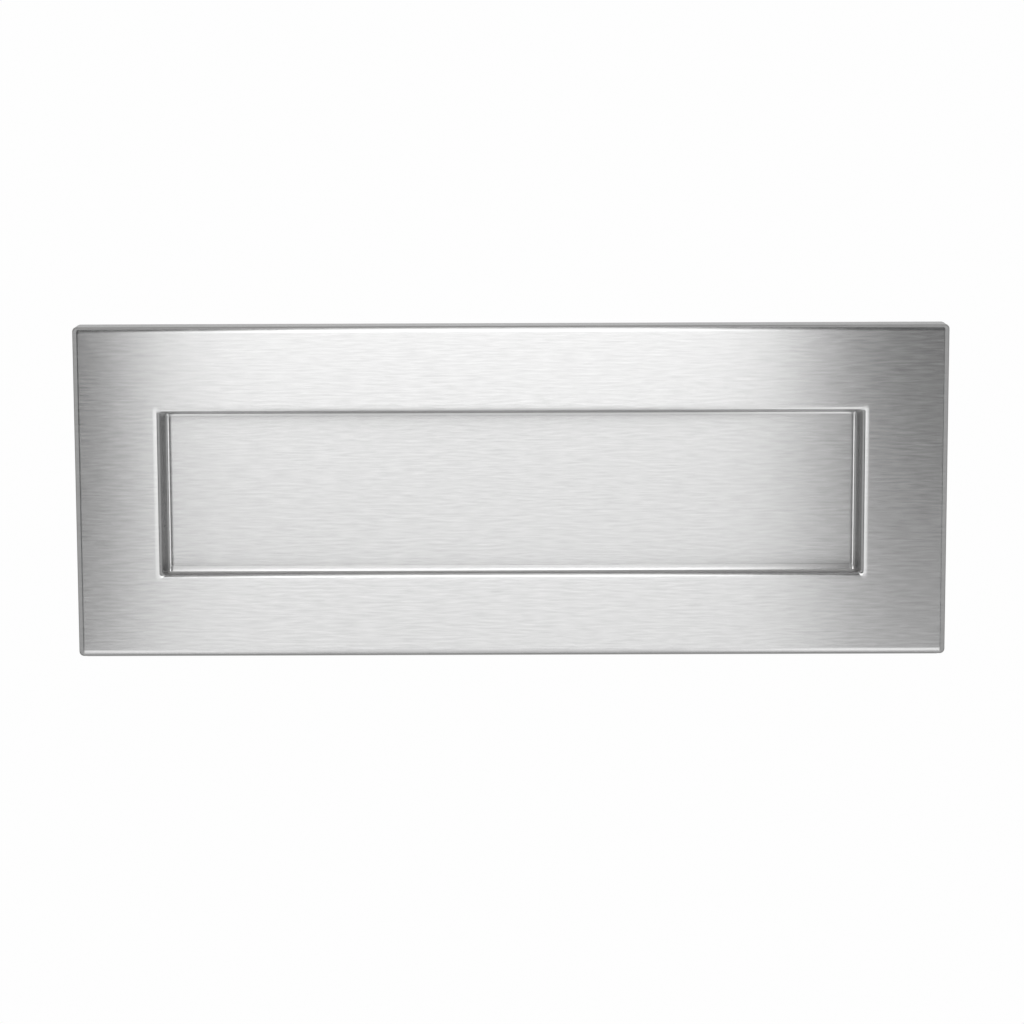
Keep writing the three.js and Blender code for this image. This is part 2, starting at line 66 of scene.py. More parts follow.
# ---------------------------------------------------------------- places read from the CAD model
frame_low, frame_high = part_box("frame")
flap_low, flap_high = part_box("flap")
rod_low, rod_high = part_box("hinge_rod")
bracket_low, bracket_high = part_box("hinge_bracket_right")
clip_low, clip_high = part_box("rod_clip_right")
buffer_low, buffer_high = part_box("flap_buffer_right")
stud_low, stud_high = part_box("fixing_stud_right")
washer_low, washer_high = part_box("stud_washer_right")
nut_low, nut_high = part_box("stud_nut_right")
screw_boxes = [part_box(f"bracket_screw_right_{place}") for place in ("inner", "outer")]
HINGE = Vector(frame["joints"][0]["pos_m"])
HALF_WIDTH = frame_high.x
HALF_HEIGHT = frame_high.z
DEPTH = -frame_low.y
FLAP_FRONT = flap_low.y
ROD_RADIUS = (rod_high.z - rod_low.z) / 2
STUD_RADIUS = (stud_high.z - stud_low.z) / 2
STUD_X = (stud_low.x + stud_high.x) / 2
SCREW_X = [(low.x + high.x) / 2 for low, high in screw_boxes]
SCREW_Z = (screw_boxes[0][0].z + screw_boxes[0][1].z) / 2
BUFFER_X = (buffer_low.x + buffer_high.x) / 2
BUFFER_Z = (buffer_low.z + buffer_high.z) / 2
CLIP_X = (clip_low.x + clip_high.x) / 2

# ---------------------------------------------------------------- shape of the frame casting
SIDE_DRAFT = 0.2  # how far the outer sides lean in for each unit of depth
CORNER_RADIUS = 2.0 * MM
CORNER_SHRINK = 0.5  # lost from the corner radius for each unit further in
SMALLEST_CORNER = 0.6 * MM
SHOULDER_RADIUS = 2.2 * MM
APERTURE_HALF_WIDTH = 104.3 * MM
APERTURE_HALF_HEIGHT = 22.9 * MM
APERTURE_CORNER = 0.35 * MM
CORNER_GROWTH = 0.4  # gained by the corner radius for each unit further out
LIP_RADIUS = 1.2 * MM
LIP_OFFSET = 2.2 * MM
LIP_EASE_RADIUS = 20 * MM
LIP_EASE = math.radians(3)  # how far the face curves before the lip begins
WALL_ANGLE = math.radians(2)
FOOT_RADIUS = 0.8 * MM
FOOT_CENTRE_OUTSET = 0.2 * MM
FOOT_TIP = 0.2 * MM
SILL_DROP = 0.8 * MM  # how much lower the lip lies at the sill
SILL_SWEEP = 1.45 * MM  # how much further out the sweep of the foot starts at the sill
SILL_BACK = 0.55 * MM  # how much lower the back of the foot reaches at the sill
FOOT_EDGE = 0.02 * MM
FOOT_EDGE_END = 0.06 * MM
FOOT_WIDTH = 2.6 * MM
FOOT_BACK = FLAP_FRONT - 0.15 * MM
WALL_THICKNESS = 2.2 * MM
FACE_THICKNESS = 2.2 * MM
RIM_THICKNESS = 2.4 * MM
RIM_EDGE = 0.2 * MM
RIM_EDGE_BEND = 0.3  # of the rim's edge, where its round passes the middle
HOLLOW = -DEPTH + FACE_THICKNESS
ROOT = HOLLOW - 1.0 * MM
HOLE_FLOOR = HOLLOW - 0.5 * MM
BORE_GAP = 0.15 * MM
CUTTER_REACH = 1 * MM
ROOT_FILLET = 0.6 * MM

SEAT_INSET = 0.8 * MM
SEAT_EDGE = 0.3 * MM
SEAT_Y = bracket_low.y
SEAT_LOW_Z = 33.6 * MM
STUD_BOSS_RADIUS = 5.5 * MM
STUD_BOSS_END = -0.8 * MM
POST_RADIUS = 3.0 * MM
POST_END = -2.2 * MM
SCREW_RADIUS = 1.5 * MM
BUFFER_STEM_RADIUS = 1.1 * MM

# ---------------------------------------------------------------- flap and the parts behind it
FLAP_TOP = 26.2 * MM
FLAP_THICKNESS = 2.5 * MM
FLAP_EDGE = 0.35 * MM
KNUCKLE_ROOT_Z = 19.0 * MM
KNUCKLES = [[x * MM for x in span]
            for span in ((-107.6, -99.6), (-82, -76), (-5, 5), (76, 82), (99.6, 107.6))]
SHEET_EDGE = 0.25 * MM
EAR_THICKNESS = 2.2 * MM
EAR_RADIUS = 4.2 * MM
BRACKET_THICKNESS = 2.0 * MM
BEND_RADIUS = 1.9 * MM
GROOVE_RADIUS = 1.5 * MM
GROOVE_WIDTH = 1.2 * MM
GROOVE_EDGE = 0.08 * MM
CLIP_OPENING = math.radians(50)
CLIP_EDGE = 0.12 * MM
SEAL_GAP = 0.15 * MM
SEAL_WIDTH = 3.5 * MM
SEAL_EDGE = 0.7 * MM
BUFFER_GAP = 0.05 * MM
BUFFER_EDGE = 0.45 * MM
BUFFER_MIDDLE = 0.4 * MM
SPRING_WIRE_RADIUS = 0.5 * MM
SPRING_COIL_RADIUS = 3.1 * MM
SPRING_TURNS = 8
SPRING_START_X = 85.5 * MM
SPRING_END_X = 96.5 * MM
FIXED_LEG_ANGLE = math.radians(45)
FIXED_LEG_LENGTH = 15 * MM
MOVING_LEG_ANGLE = math.radians(-12.5)
MOVING_LEG_LENGTH = 17.5 * MM
WIRE_SIDES = 14
# distance from the cut end of a wire, and the share of its radius there
WIRE_END = ((0.2 * MM, 1.0), (0.06 * MM, 0.92), (0.0, 0.7))

# ---------------------------------------------------------------- screws, studs, washers and nuts
THREAD_DEPTH = 0.6134  # of the pitch
THREAD_CREST = 0.125
THREAD_ROOT = 0.25
SCREW_PITCH = 0.5 * MM
STUD_PITCH = 1.0 * MM
HEAD_Y = SEAT_Y + BRACKET_THICKNESS + 0.1 * MM
HEAD_CROWN = 0.9 * MM
HEAD_CROWN_SWEEP = QUARTER * 0.92
HEAD_EDGE = 0.1 * MM
HEAD_MIDDLE = 0.6 * MM
HEAD_OVERLAP = 0.2 * MM
HEAD_UNDERSIDE = 0.8  # of the shank's radius
# height above the top of the head, half length and half width of a wing of the cross recess
RECESS_RINGS = ((-1.1 * MM, 0.7 * MM, 0.2 * MM), (0.2 * MM, 1.6 * MM, 0.38 * MM))
SCREW_TURN = 0.5
SCREW_TURN_STEP = 0.7
WASHER_GAP = 0.2 * MM
WASHER_EDGE = 0.3 * MM
NUT_TO_FLAT = 5 * MM
NUT_CHAMFER = 0.45 * MM
NUT_CHAMFER_INSET = 0.3 * MM
NUT_SINK = 0.5 * MM
NUT_EDGE = 0.12 * MM

# ---------------------------------------------------------------- metal
FRAME_LEVEL = 0.58
# the flap is the frame's own metal; its lower level is painted shade on the flap, which sits back in the
# recess
FLAP_SHADED_LEVEL = 0.545
# cells per metre along the brushing and across it
BRUSH_FINE = (80, 5200, 1)
BRUSH_BROAD = (150, 1600, 1)
BRUSH_CLOUD = (9, 24, 1)
BRUSH_BROAD_SHARE = 0.65
BRUSH_CLOUD_SHARE = 0.1
BRUSH_DARK = 0.89
BRUSH_LIGHT = 1.1
BRUSH_DEPTH = 0.004 * MM
UPRIGHT = 0.72  # a normal's part along one axis, above which a face counts as a side
# the unpolished back of the casting begins here, and this far from the wall
BACK_START = HOLLOW - 1.5 * MM
WALL_CLEARANCE = 1.6 * MM

# ---------------------------------------------------------------- camera, floor and light
CAMERA_DISTANCE = 0.45
CAMERA_AZIMUTH = math.radians(0.09)
CAMERA_ELEVATION = math.radians(2.93)
CAMERA_ROLL = math.radians(-0.2)
CAMERA_TARGET = Vector((0.2 * MM, 0, -6.7 * MM))
CAMERA_LENS = 51.7
SENSOR_WIDTH = 36
NEAREST_SEEN = 0.01

FLOOR_HALF_SIZE = 12.0
FLOOR_Z = -0.6
BACKGROUND = 0.99
ROOM_LOW = 0.6
ROOM_HIGH = 0.72
# strength, azimuth from, to, softness, elevation from, to, softness; azimuth 0 is straight in
# front of the plate and 90 is to its right, in degrees; a negative strength is a dark flag
SOFT_BOXES = {
    "front": (0.3, -13.5, 11.5, 2.5, -60, 75, 20),
    "upper front": (1.4, -15.3, 11.5, 1.5, 5, 60, 4),
    "lower front": (0.15, -14, 12, 3, -75, -8, 5),
    "left flag": (-0.6, -40, -15.3, 1.5, -16, 70, 4),
    "right flag": (-0.58, 12.5, 36, 3, -14, 70, 4),
    "low left": (0.9, -30, -13.5, 3, -60, -16, 4),
    "low right": (1.0, 11.5, 30, 3, -60, -14, 4),
    "left side": (-0.12, -100, -40, 6, -60, 60, 20),
    "right side": (-0.12, 36, 100, 6, -60, 60, 20),
}
ZENITH = 90


# ---------------------------------------------------------------- mesh building
def new_piece(name, points, faces):
    """An object of one closed mesh, with its faces pointing out."""
    mesh = bpy.data.meshes.new(name)
    mesh.from_pydata([tuple(p) for p in points], [], faces)
    work = bmesh.new()
    work.from_mesh(mesh)
    bmesh.ops.remove_doubles(work, verts=work.verts, dist=SAME_POINT)
    bmesh.ops.dissolve_degenerate(work, dist=SAME_POINT, edges=work.edges)
    bmesh.ops.recalc_face_normals(work, faces=work.faces)
    work.to_mesh(mesh)
    work.free()
    piece = bpy.data.objects.new(name, mesh)
    bpy.context.scene.collection.objects.link(piece)
    return piece


def copy_piece(piece, name, matrix):
    """Another object of the same mesh, moved by a matrix that is applied to its points."""
    mesh = piece.data.copy()
    mesh.transform(matrix)
    other = bpy.data.objects.new(name, mesh)
    bpy.context.scene.collection.objects.link(other)
    return other


def remove(piece):
    bpy.data.objects.remove(piece)


def apply_modifiers(piece):
    """Makes the result of the modifiers the piece's own mesh."""
    graph = bpy.context.evaluated_depsgraph_get()
    made = bpy.data.meshes.new_from_object(piece.evaluated_get(graph))
    piece.modifiers.clear()
    old = piece.data
    piece.data = made
    bpy.data.meshes.remove(old)


def boolean(piece, tool, operation):
    """Joins or cuts with another object, which is used up."""
    step = piece.modifiers.new(operation, "BOOLEAN")
    step.operation = operation
    step.solver = "EXACT"
    step.object = tool
    apply_modifiers(piece)
    remove(tool)


def soften(piece, width, segments=2, angle=40):
    """Rounds the sharp edges, as tumbling or casting does."""
    step = piece.modifiers.new("edges", "BEVEL")
    step.width = width
    step.segments = segments
    step.limit_method = "ANGLE"
    step.angle_limit = math.radians(angle)
    step.use_clamp_overlap = True
    apply_modifiers(piece)


def smooth(piece, angle=35):
    """Smooth shading that leaves flat faces flat and sharp edges sharp."""
    piece.data.shade_smooth()
    piece.data.set_sharp_from_angle(angle=math.radians(angle))
    step = piece.modifiers.new("normals", "WEIGHTED_NORMAL")
    step.keep_sharp = True
    step.weight = 100
    apply_modifiers(piece)


def arc(centre, radius, start, end, steps):
    """Points of a circle's arc in a plane, both ends included."""
    angles = [start + (end - start) * step / steps for step in range(steps + 1)]
    return [(centre[0] + radius * math.cos(a), centre[1] + radius * math.sin(a)) for a in angles]


def loft(name, rings, closed=True):
    """A band through rings of equal numbers of points, joined into a loop or with both ends filled."""
    count = len(rings[0])
    faces = []
    for row in range(len(rings) if closed else len(rings) - 1):
        here, there = row * count, (row + 1) % len(rings) * count
        for k in range(count):
            faces.append((here + k, here + (k + 1) % count, there + (k + 1) % count, there + k))
    if not closed:
        faces.append(tuple(range(count)))
        faces.append(tuple(range((len(rings) - 1) * count, len(rings) * count)))
    return new_piece(name, [p for points in rings for p in points], faces)


def circle(radius, along, centre, axis, segments):
    """Points of a circle about an axis along Y or X."""
    points = []
    for k in range(segments):
        a = 2 * math.pi * k / segments
        p = centre[0] + radius * math.cos(a)
        q = centre[1] + radius * math.sin(a)
        points.append((p, along, q) if axis == "Y" else (along, p, q))
    return points


def turned(name, profile, centre=(0, 0), axis="Y", segments=48, closed=False):
    """A turned part: profile holds (radius, place along the axis)."""
    rings = [circle(radius, along, centre, axis, segments) for radius, along in profile]
    return loft(name, rings, closed)


def rounded_profile(corners, radius, steps=4):
    """A profile of (radius, along) corners with each inner corner rounded."""
    made = [corners[0]]
    for before, here, after in zip(corners, corners[1:], corners[2:]):
        here = Vector(here)
        to_before = Vector(before) - here
        to_after = Vector(after) - here
        reach = min(radius, to_before.length * NEARLY_HALF, to_after.length * NEARLY_HALF)
        start = here + to_before.normalized() * reach
        end = here + to_after.normalized() * reach
        for step in range(steps + 1):
            t = step / steps
            made.append(tuple(start * (1 - t) ** 2 + here * 2 * t * (1 - t) + end * t * t))
    return made + [corners[-1]]


def block(name, low, high):
    """A box between two corners."""
    sides = zip(low, high)
    corners = list(itertools.product(*sides))
    faces = [(0, 1, 3, 2), (4, 6, 7, 5), (0, 4, 5, 1), (2, 3, 7, 6), (0, 2, 6, 4), (1, 5, 7, 3)]
    return new_piece(name, corners, faces)


def prism_x(name, outline, from_x, to_x):
    """An outline of (y, z) points, given a thickness along X."""
    return loft(name, [[(x, y, z) for y, z in outline] for x in (from_x, to_x)], closed=False)


def ring(half_width, half_height, radius, y, centre_z=0.0, steps=14):
    """The points of a rectangle with round corners at depth y."""
    points = []
    for corner, (side_x, side_z) in enumerate(CORNER_SIGNS):
        middle = (side_x * (half_width - radius), centre_z + side_z * (half_height - radius))
        start = corner * QUARTER
        points += [(x, y, z) for x, z in arc(middle, radius, start, start + QUARTER, steps)]
    return points


def thread_radius(phase, radius, pitch):
    """Radius of a metric thread at a phase from 0 to 1 along one pitch."""
    height = THREAD_DEPTH * pitch
    flank = (1 - THREAD_CREST - THREAD_ROOT) / 2
    phase %= 1
    if phase < THREAD_CREST:
        return radius
    if phase < THREAD_CREST + flank:
        return radius - height * (phase - THREAD_CREST) / flank
    if phase < THREAD_CREST + flank + THREAD_ROOT:
        return radius - height
    return radius - height * (1 - phase) / flank


def threaded_bar(name, radius, pitch, start, end, segments=32, rows_per_pitch=8):
    """A threaded bar along Y with chamfered ends.

    The rows of its mesh follow the thread, so each row ends one pitch further along, where it meets a
    later row. Its ends are discs, whose points are merged with those of the rows.
    """
    root = radius - THREAD_DEPTH * pitch
    row_count = round((end - start) / pitch * rows_per_pitch) + 2 * rows_per_pitch
    points = []
    for row in range(row_count + 1):
        for k in range(segments):
            along = start + ((row - rows_per_pitch) / rows_per_pitch + k / segments) * pitch
            held = min(max(along, start), end)
            limit = root + min(held - start, end - held)
            r = min(thread_radius(row / rows_per_pitch, radius, pitch), limit)
            a = 2 * math.pi * k / segments
            points.append((r * math.cos(a), held, r * math.sin(a)))
    faces = []
    for row in range(row_count):
        for k in range(segments):
            wraps = k + 1 == segments
            here = row * segments + k
            beside = here + 1 if not wraps else (row + rows_per_pitch) * segments
            if wraps and row + rows_per_pitch + 1 > row_count:
                continue
            above = beside + segments
            faces.append((here, beside, above, here + segments))
    for along in (start, end):
        first = len(points)
        points += circle(root, along, (0, 0), "Y", segments)
        faces.append(tuple(range(first, first + segments)))
    return new_piece(name, points, faces)


# ---------------------------------------------------------------- frame
def outer_ring(inset, y):
    """A ring set in from the outline of the plate, with smaller corners further in."""
    radius = max(CORNER_RADIUS - inset * CORNER_SHRINK, SMALLEST_CORNER)
    return ring(HALF_WIDTH - inset, HALF_HEIGHT - inset, radius, y)


def aperture_ring(outset, y, drop=SILL_DROP):
    """A ring round the aperture, which reaches further out below, at the sill."""
    radius = APERTURE_CORNER + outset * CORNER_GROWTH
    half_height = APERTURE_HALF_HEIGHT + outset + drop / 2
    return ring(APERTURE_HALF_WIDTH + outset, half_height, radius, y, -drop / 2)


def shoulder_profile():
    """(inset, y) from the drafted side round to the face."""
    lean = math.atan(SIDE_DRAFT)
    centre_y = -DEPTH + SHOULDER_RADIUS
    side_end = centre_y + SHOULDER_RADIUS * math.sin(lean)
    centre_inset = -side_end * SIDE_DRAFT + SHOULDER_RADIUS * math.cos(lean)
    return arc((centre_inset, centre_y), SHOULDER_RADIUS, math.pi - lean, 3 * QUARTER, 14)


def lip_profile():
    """(outset, y) from the face, which eases into the lip, to the wall."""
    ease_depth = -DEPTH + LIP_EASE_RADIUS * (1 - math.cos(LIP_EASE))
    ease_outset = LIP_OFFSET + (LIP_EASE_RADIUS - LIP_RADIUS) * math.sin(LIP_EASE)
    ease_centre = (ease_outset, LIP_EASE_RADIUS - DEPTH)
    ease = arc(ease_centre, LIP_EASE_RADIUS, -QUARTER, -QUARTER - LIP_EASE, 8)
    lip_centre = (LIP_OFFSET, ease_depth + LIP_RADIUS * math.cos(LIP_EASE))
    lip = arc(lip_centre, LIP_RADIUS, -QUARTER - LIP_EASE, WALL_ANGLE - 2 * QUARTER, 12)
    return ease + lip[1:]


def foot_rings():
    """The hollow sweep of the wall's foot, which is wider at the sill, and the foot's edge."""
    tip = FOOT_BACK - FOOT_TIP
    foot = arc((FOOT_CENTRE_OUTSET, tip - FOOT_RADIUS), FOOT_RADIUS, WALL_ANGLE, QUARTER, 12)
    reach = foot[0][0]
    rings = [aperture_ring(outset, y, SILL_SWEEP * outset / reach) for outset, y in foot]
    edge = [(FOOT_EDGE, tip + FOOT_EDGE), (0, tip + FOOT_EDGE_END), (0, FOOT_BACK)]
    return rings + [aperture_ring(outset, y, 0) for outset, y in edge]


def frame_casting():
    """The loop of the section all round: side, shoulder, face, lip, wall, foot, and the hollow back."""
    wall_run = (FOOT_BACK - HOLLOW) * math.tan(WALL_ANGLE)
    bend = RIM_EDGE_BEND * RIM_EDGE
    rim_inset = -HOLLOW * SIDE_DRAFT + RIM_THICKNESS
    wall_back = WALL_THICKNESS + FOOT_RADIUS + wall_run
    rings = [outer_ring(RIM_EDGE, 0), outer_ring(bend, -bend), outer_ring(0, -RIM_EDGE)]
    rings += [outer_ring(inset, y) for inset, y in shoulder_profile()]
    rings += [aperture_ring(outset, y) for outset, y in lip_profile()]
    rings += foot_rings()
    rings += [aperture_ring(FOOT_WIDTH - RIM_EDGE, FOOT_BACK, SILL_BACK)]
    rings += [aperture_ring(FOOT_WIDTH, FOOT_BACK - RIM_EDGE, SILL_BACK)]
    fillet_y = HOLLOW + ROOT_FILLET
    wall_fillet = arc((wall_back + ROOT_FILLET, fillet_y), ROOT_FILLET, 2 * QUARTER, 3 * QUARTER, 4)
    rings += [aperture_ring(outset, y) for outset, y in wall_fillet]
    rim_fillet = arc((rim_inset + ROOT_FILLET, fillet_y), ROOT_FILLET, 3 * QUARTER, 2 * QUARTER, 4)
    rings += [outer_ring(inset, y) for inset, y in rim_fillet]
    rings += [outer_ring(RIM_THICKNESS + RIM_EDGE * SIDE_DRAFT, -RIM_EDGE)]
    rings += [outer_ring(RIM_THICKNESS - RIM_EDGE, 0)]
    casting = loft("letter_plate_frame", rings)
    for side in (-1, 1):
        add_bosses(casting, side)
    for side in (-1, 1):
        cut_holes(casting, side)
    return casting


def boss(name, radius, end, x, z=0.0):
    """A cast boss along Y: a fillet at its root and a rounded end."""
    end_round = 0.3 * MM
    foot = arc((radius + ROOT_FILLET, HOLLOW + ROOT_FILLET), ROOT_FILLET, 3 * QUARTER, 2 * QUARTER, 5)
    crown = arc((radius - end_round, end - end_round), end_round, 0, QUARTER, 4)
    return turned(name, [(radius + ROOT_FILLET, ROOT)] + foot + crown, centre=(x, z))


def add_bosses(casting, side):
    """The bracket's seat, the stud's boss and the buffer's post on one side."""
    seat_x = sorted((side * (bracket_low.x + SEAT_INSET), side * (bracket_high.x - SEAT_INSET)))
    seat = block("seat", (seat_x[0], ROOT, SEAT_LOW_Z + SEAT_INSET),
                 (seat_x[1], SEAT_Y, bracket_high.z - SEAT_INSET))
    soften(seat, SEAT_EDGE, segments=3)
    boolean(casting, seat, "UNION")
    boolean(casting, boss("stud_boss", STUD_BOSS_RADIUS, STUD_BOSS_END, side * STUD_X), "UNION")
    boolean(casting, boss("post", POST_RADIUS, POST_END, side * BUFFER_X, BUFFER_Z), "UNION")


def hole_cutter(radius, open_end, x, z):
    """A drilled hole with a small countersink where it opens."""
    sink = 0.3 * MM
    profile = [(radius, HOLE_FLOOR), (radius, open_end - sink),
               (radius + sink + CUTTER_REACH, open_end + CUTTER_REACH)]
    return turned("hole", profile, centre=(x, z), segments=40)


def cut_holes(casting, side):
    """The holes for the stud, the two screws and the buffer's stem on one side."""
    stud = hole_cutter(STUD_RADIUS + BORE_GAP, STUD_BOSS_END, side * STUD_X, 0)
    boolean(casting, stud, "DIFFERENCE")
    for x in SCREW_X:
        screw_hole = hole_cutter(SCREW_RADIUS + BORE_GAP, SEAT_Y, side * x, SCREW_Z)
        boolean(casting, screw_hole, "DIFFERENCE")
    stem = hole_cutter(BUFFER_STEM_RADIUS + BORE_GAP, POST_END, side * BUFFER_X, BUFFER_Z)
    boolean(casting, stem, "DIFFERENCE")


# ---------------------------------------------------------------- flap
def flap_panel():
    """The brushed panel with its rounded edges, and the knuckles on its back that turn on the rod."""
    back = FLAP_FRONT + FLAP_THICKNESS
    panel = block("flap_panel", (flap_low.x, FLAP_FRONT, flap_low.z), (flap_high.x, back, FLAP_TOP))
    soften(panel, FLAP_EDGE, segments=4)
    radius = HINGE.y - FLAP_FRONT
    outline = [(FLAP_FRONT, KNUCKLE_ROOT_Z), (back, KNUCKLE_ROOT_Z)]
    outline += arc((HINGE.y, HINGE.z), radius, 0, 2 * QUARTER, 24)
    for from_x, to_x in KNUCKLES:
        knuckle = prism_x("knuckle", outline, from_x, to_x)
        soften(knuckle, SHEET_EDGE, segments=2, angle=50)
        boolean(panel, knuckle, "UNION")
    reach = flap_high.x + CUTTER_REACH
    bore = turned("bore", [(ROD_RADIUS + BORE_GAP, -reach), (ROD_RADIUS + BORE_GAP, reach)],
                  centre=(HINGE.y, HINGE.z), axis="X")
    boolean(panel, bore, "DIFFERENCE")
    return panel


# ---------------------------------------------------------------- hinge parts
def hinge_rod():
    """A drawn rod with a groove and a chamfer near each end."""
    end_round = 0.4 * MM
    half = [
        (ROD_RADIUS, CLIP_X - GROOVE_WIDTH / 2),
        (GROOVE_RADIUS, CLIP_X - GROOVE_WIDTH / 2),
        (GROOVE_RADIUS, CLIP_X + GROOVE_WIDTH / 2),
        (ROD_RADIUS, CLIP_X + GROOVE_WIDTH / 2),
        (ROD_RADIUS, rod_high.x - end_round),
        (ROD_RADIUS - end_round, rod_high.x),
    ]
    profile = [(radius, -along) for radius, along in reversed(half)] + half
    return turned("hinge_rod_turned", rounded_profile(profile, GROOVE_EDGE, steps=3),
                  centre=(HINGE.y, HINGE.z), axis="X")


def bracket(name, side):
    """A bracket bent from sheet: an ear with the rod's eye, and a foot with two screw holes."""
    ear_back = HINGE.y + EAR_RADIUS
    seat_back = SEAT_Y + BRACKET_THICKNESS
    outline = [(SEAT_Y, bracket_high.z), (SEAT_Y, SEAT_LOW_Z)]
    outline += arc((HINGE.y, HINGE.z), EAR_RADIUS, 2 * QUARTER, 4 * QUARTER, 28)
    outline += [(ear_back, SEAT_LOW_Z), (seat_back, bracket_high.z)]
    body = prism_x(name, outline, bracket_low.x, bracket_low.x + EAR_THICKNESS)
    foot = block("foot", (bracket_low.x, SEAT_Y, SEAT_LOW_Z),
                 (bracket_high.x, seat_back, bracket_high.z))
    boolean(body, foot, "UNION")
    round_bend(body)
    soften(body, SHEET_EDGE, segments=3, angle=50)
    reach = EAR_THICKNESS + CUTTER_REACH
    eye = turned("eye", [(ROD_RADIUS + BORE_GAP, bracket_low.x - reach),
                         (ROD_RADIUS + BORE_GAP, bracket_low.x + reach)],
                 centre=(HINGE.y, HINGE.z), axis="X")
    boolean(body, eye, "DIFFERENCE")
    for x in SCREW_X:
        hole = turned("hole", [(SCREW_RADIUS + BORE_GAP, SEAT_Y - reach),
                               (SCREW_RADIUS + BORE_GAP, ear_back)],
                      centre=(x, SCREW_Z), segments=40)
        boolean(body, hole, "DIFFERENCE")
    return on_side(body, side)


def on_bend(point):
    """Whether a point lies on the sharp line where the sheet is bent."""
    return abs(point.x - bracket_low.x) < SAME_PLANE and abs(point.y - SEAT_Y) < SAME_PLANE


def round_bend(body):
    """Rounds the outer edge where the sheet is bent from foot to ear."""
    work = bmesh.new()
    work.from_mesh(body.data)
    bend = [edge for edge in work.edges if all(on_bend(corner.co) for corner in edge.verts)]
    bmesh.ops.bevel(work, geom=bend, offset=BEND_RADIUS, segments=8, profile=0.5, affect="EDGES")
    work.to_mesh(body.data)
    work.free()


def on_side(piece, side):
    """Mirrors a piece that was made for the right side when it belongs on the left."""
    if side < 0:
        piece.data.transform(Matrix.Diagonal((-1, 1, 1, 1)))
        piece.data.flip_normals()
    return piece


def pan_screw():
    """A pan-head screw along Y with the underside of its head at the origin."""
    low, high = screw_boxes[0]
    head_radius = (high.z - low.z) / 2
    head_top = high.y - HEAD_Y
    shank_end = low.y - HEAD_Y
    crown_centre = (head_radius - HEAD_CROWN, head_top - HEAD_CROWN)
    crown = arc(crown_centre, HEAD_CROWN, 0, HEAD_CROWN_SWEEP, 8)
    underside = [(SCREW_RADIUS * HEAD_UNDERSIDE, 0), (head_radius - HEAD_EDGE, 0),
                 (head_radius, HEAD_EDGE)]
    head = turned("screw", underside + crown + [(HEAD_MIDDLE, head_top)])
    shank = threaded_bar("shank", SCREW_RADIUS, SCREW_PITCH, shank_end, HEAD_OVERLAP, segments=24)
    boolean(head, shank, "UNION")
    for turn in (0, QUARTER):
        boolean(head, recess_wing(head_top, turn), "DIFFERENCE")
    return head


def recess_wing(head_top, turn):
    """One wing of the cross recess, narrowing towards its floor."""
    rings = []
    for height, half_length, half_width in RECESS_RINGS:
        rings.append([(x * half_length, head_top + height, z * half_width) for x, z in CORNER_SIGNS])
    wing = loft("wing", rings, closed=False)
    wing.data.transform(Matrix.Rotation(turn, 4, "Y"))
    return wing


def rod_clip(name, side):
    """An open ring of spring steel, snapped into the groove of the rod."""
    centre = (HINGE.y, HINGE.z)
    outer = (clip_high.y - clip_low.y) / 2
    inner = GROOVE_RADIUS + BORE_GAP
    start = -QUARTER + CLIP_OPENING
    end = 3 * QUARTER - CLIP_OPENING
    outline = arc(centre, outer, start, end, 40) + arc(centre, inner, end, start, 30)
    clip = prism_x(name, outline, clip_low.x, clip_high.x)
    soften(clip, CLIP_EDGE, segments=2, angle=50)
    return on_side(clip, side)


def spring_line():
    """The centre line of the right-hand spring: the fixed leg, the turns, then the moving leg."""
    turn = -(2 * math.pi * SPRING_TURNS + FIXED_LEG_ANGLE - MOVING_LEG_ANGLE)
    coil_length = math.hypot(turn * SPRING_COIL_RADIUS, SPRING_END_X - SPRING_START_X)
    leg_steps = 10
    coil_steps = 36 * SPRING_TURNS
    places = [-FIXED_LEG_LENGTH * (1 - k / leg_steps) for k in range(leg_steps)]
    places += [coil_length * k / coil_steps for k in range(coil_steps + 1)]
    places += [coil_length + MOVING_LEG_LENGTH * (k + 1) / leg_steps for k in range(leg_steps)]
    line = []
    for along in places:
        on_coil = min(max(along / coil_length, 0), 1)
        beyond = along - on_coil * coil_length
        angle = FIXED_LEG_ANGLE + on_coil * turn
        line.append(Vector((
            SPRING_START_X + (SPRING_END_X - SPRING_START_X) * on_coil,
            HINGE.y + SPRING_COIL_RADIUS * math.cos(angle) + beyond * math.sin(angle),
            HINGE.z + SPRING_COIL_RADIUS * math.sin(angle) - beyond * math.cos(angle),
        )))
    return line


def wire_ring(centre, forward, share):
    """Points round the wire where it runs forward, at a share of its radius."""
    across = Vector((1, 0, 0)) - forward * forward.x
    across.normalize()
    up = forward.cross(across)
    radius = SPRING_WIRE_RADIUS * share
    points = []
    for step in range(WIRE_SIDES):
        a = 2 * math.pi * step / WIRE_SIDES
        points.append(centre + across * radius * math.cos(a) + up * radius * math.sin(a))
    return points


def closing_spring(name, side):
    """Round wire swept along the spring's line, with its cut ends rounded off."""
    line = spring_line()
    last = len(line) - 1
    rings = []
    for k, here in enumerate(line):
        forward = (line[min(k + 1, last)] - line[max(k - 1, 0)]).normalized()
        if k == 0:
            for back, share in reversed(WIRE_END):
                rings.append(wire_ring(here + forward * back, forward, share))
        elif k == last:
            for back, share in WIRE_END:
                rings.append(wire_ring(here - forward * back, forward, share))
        else:
            rings.append(wire_ring(here, forward, 1.0))
    return on_side(loft(name, rings, closed=False), side)


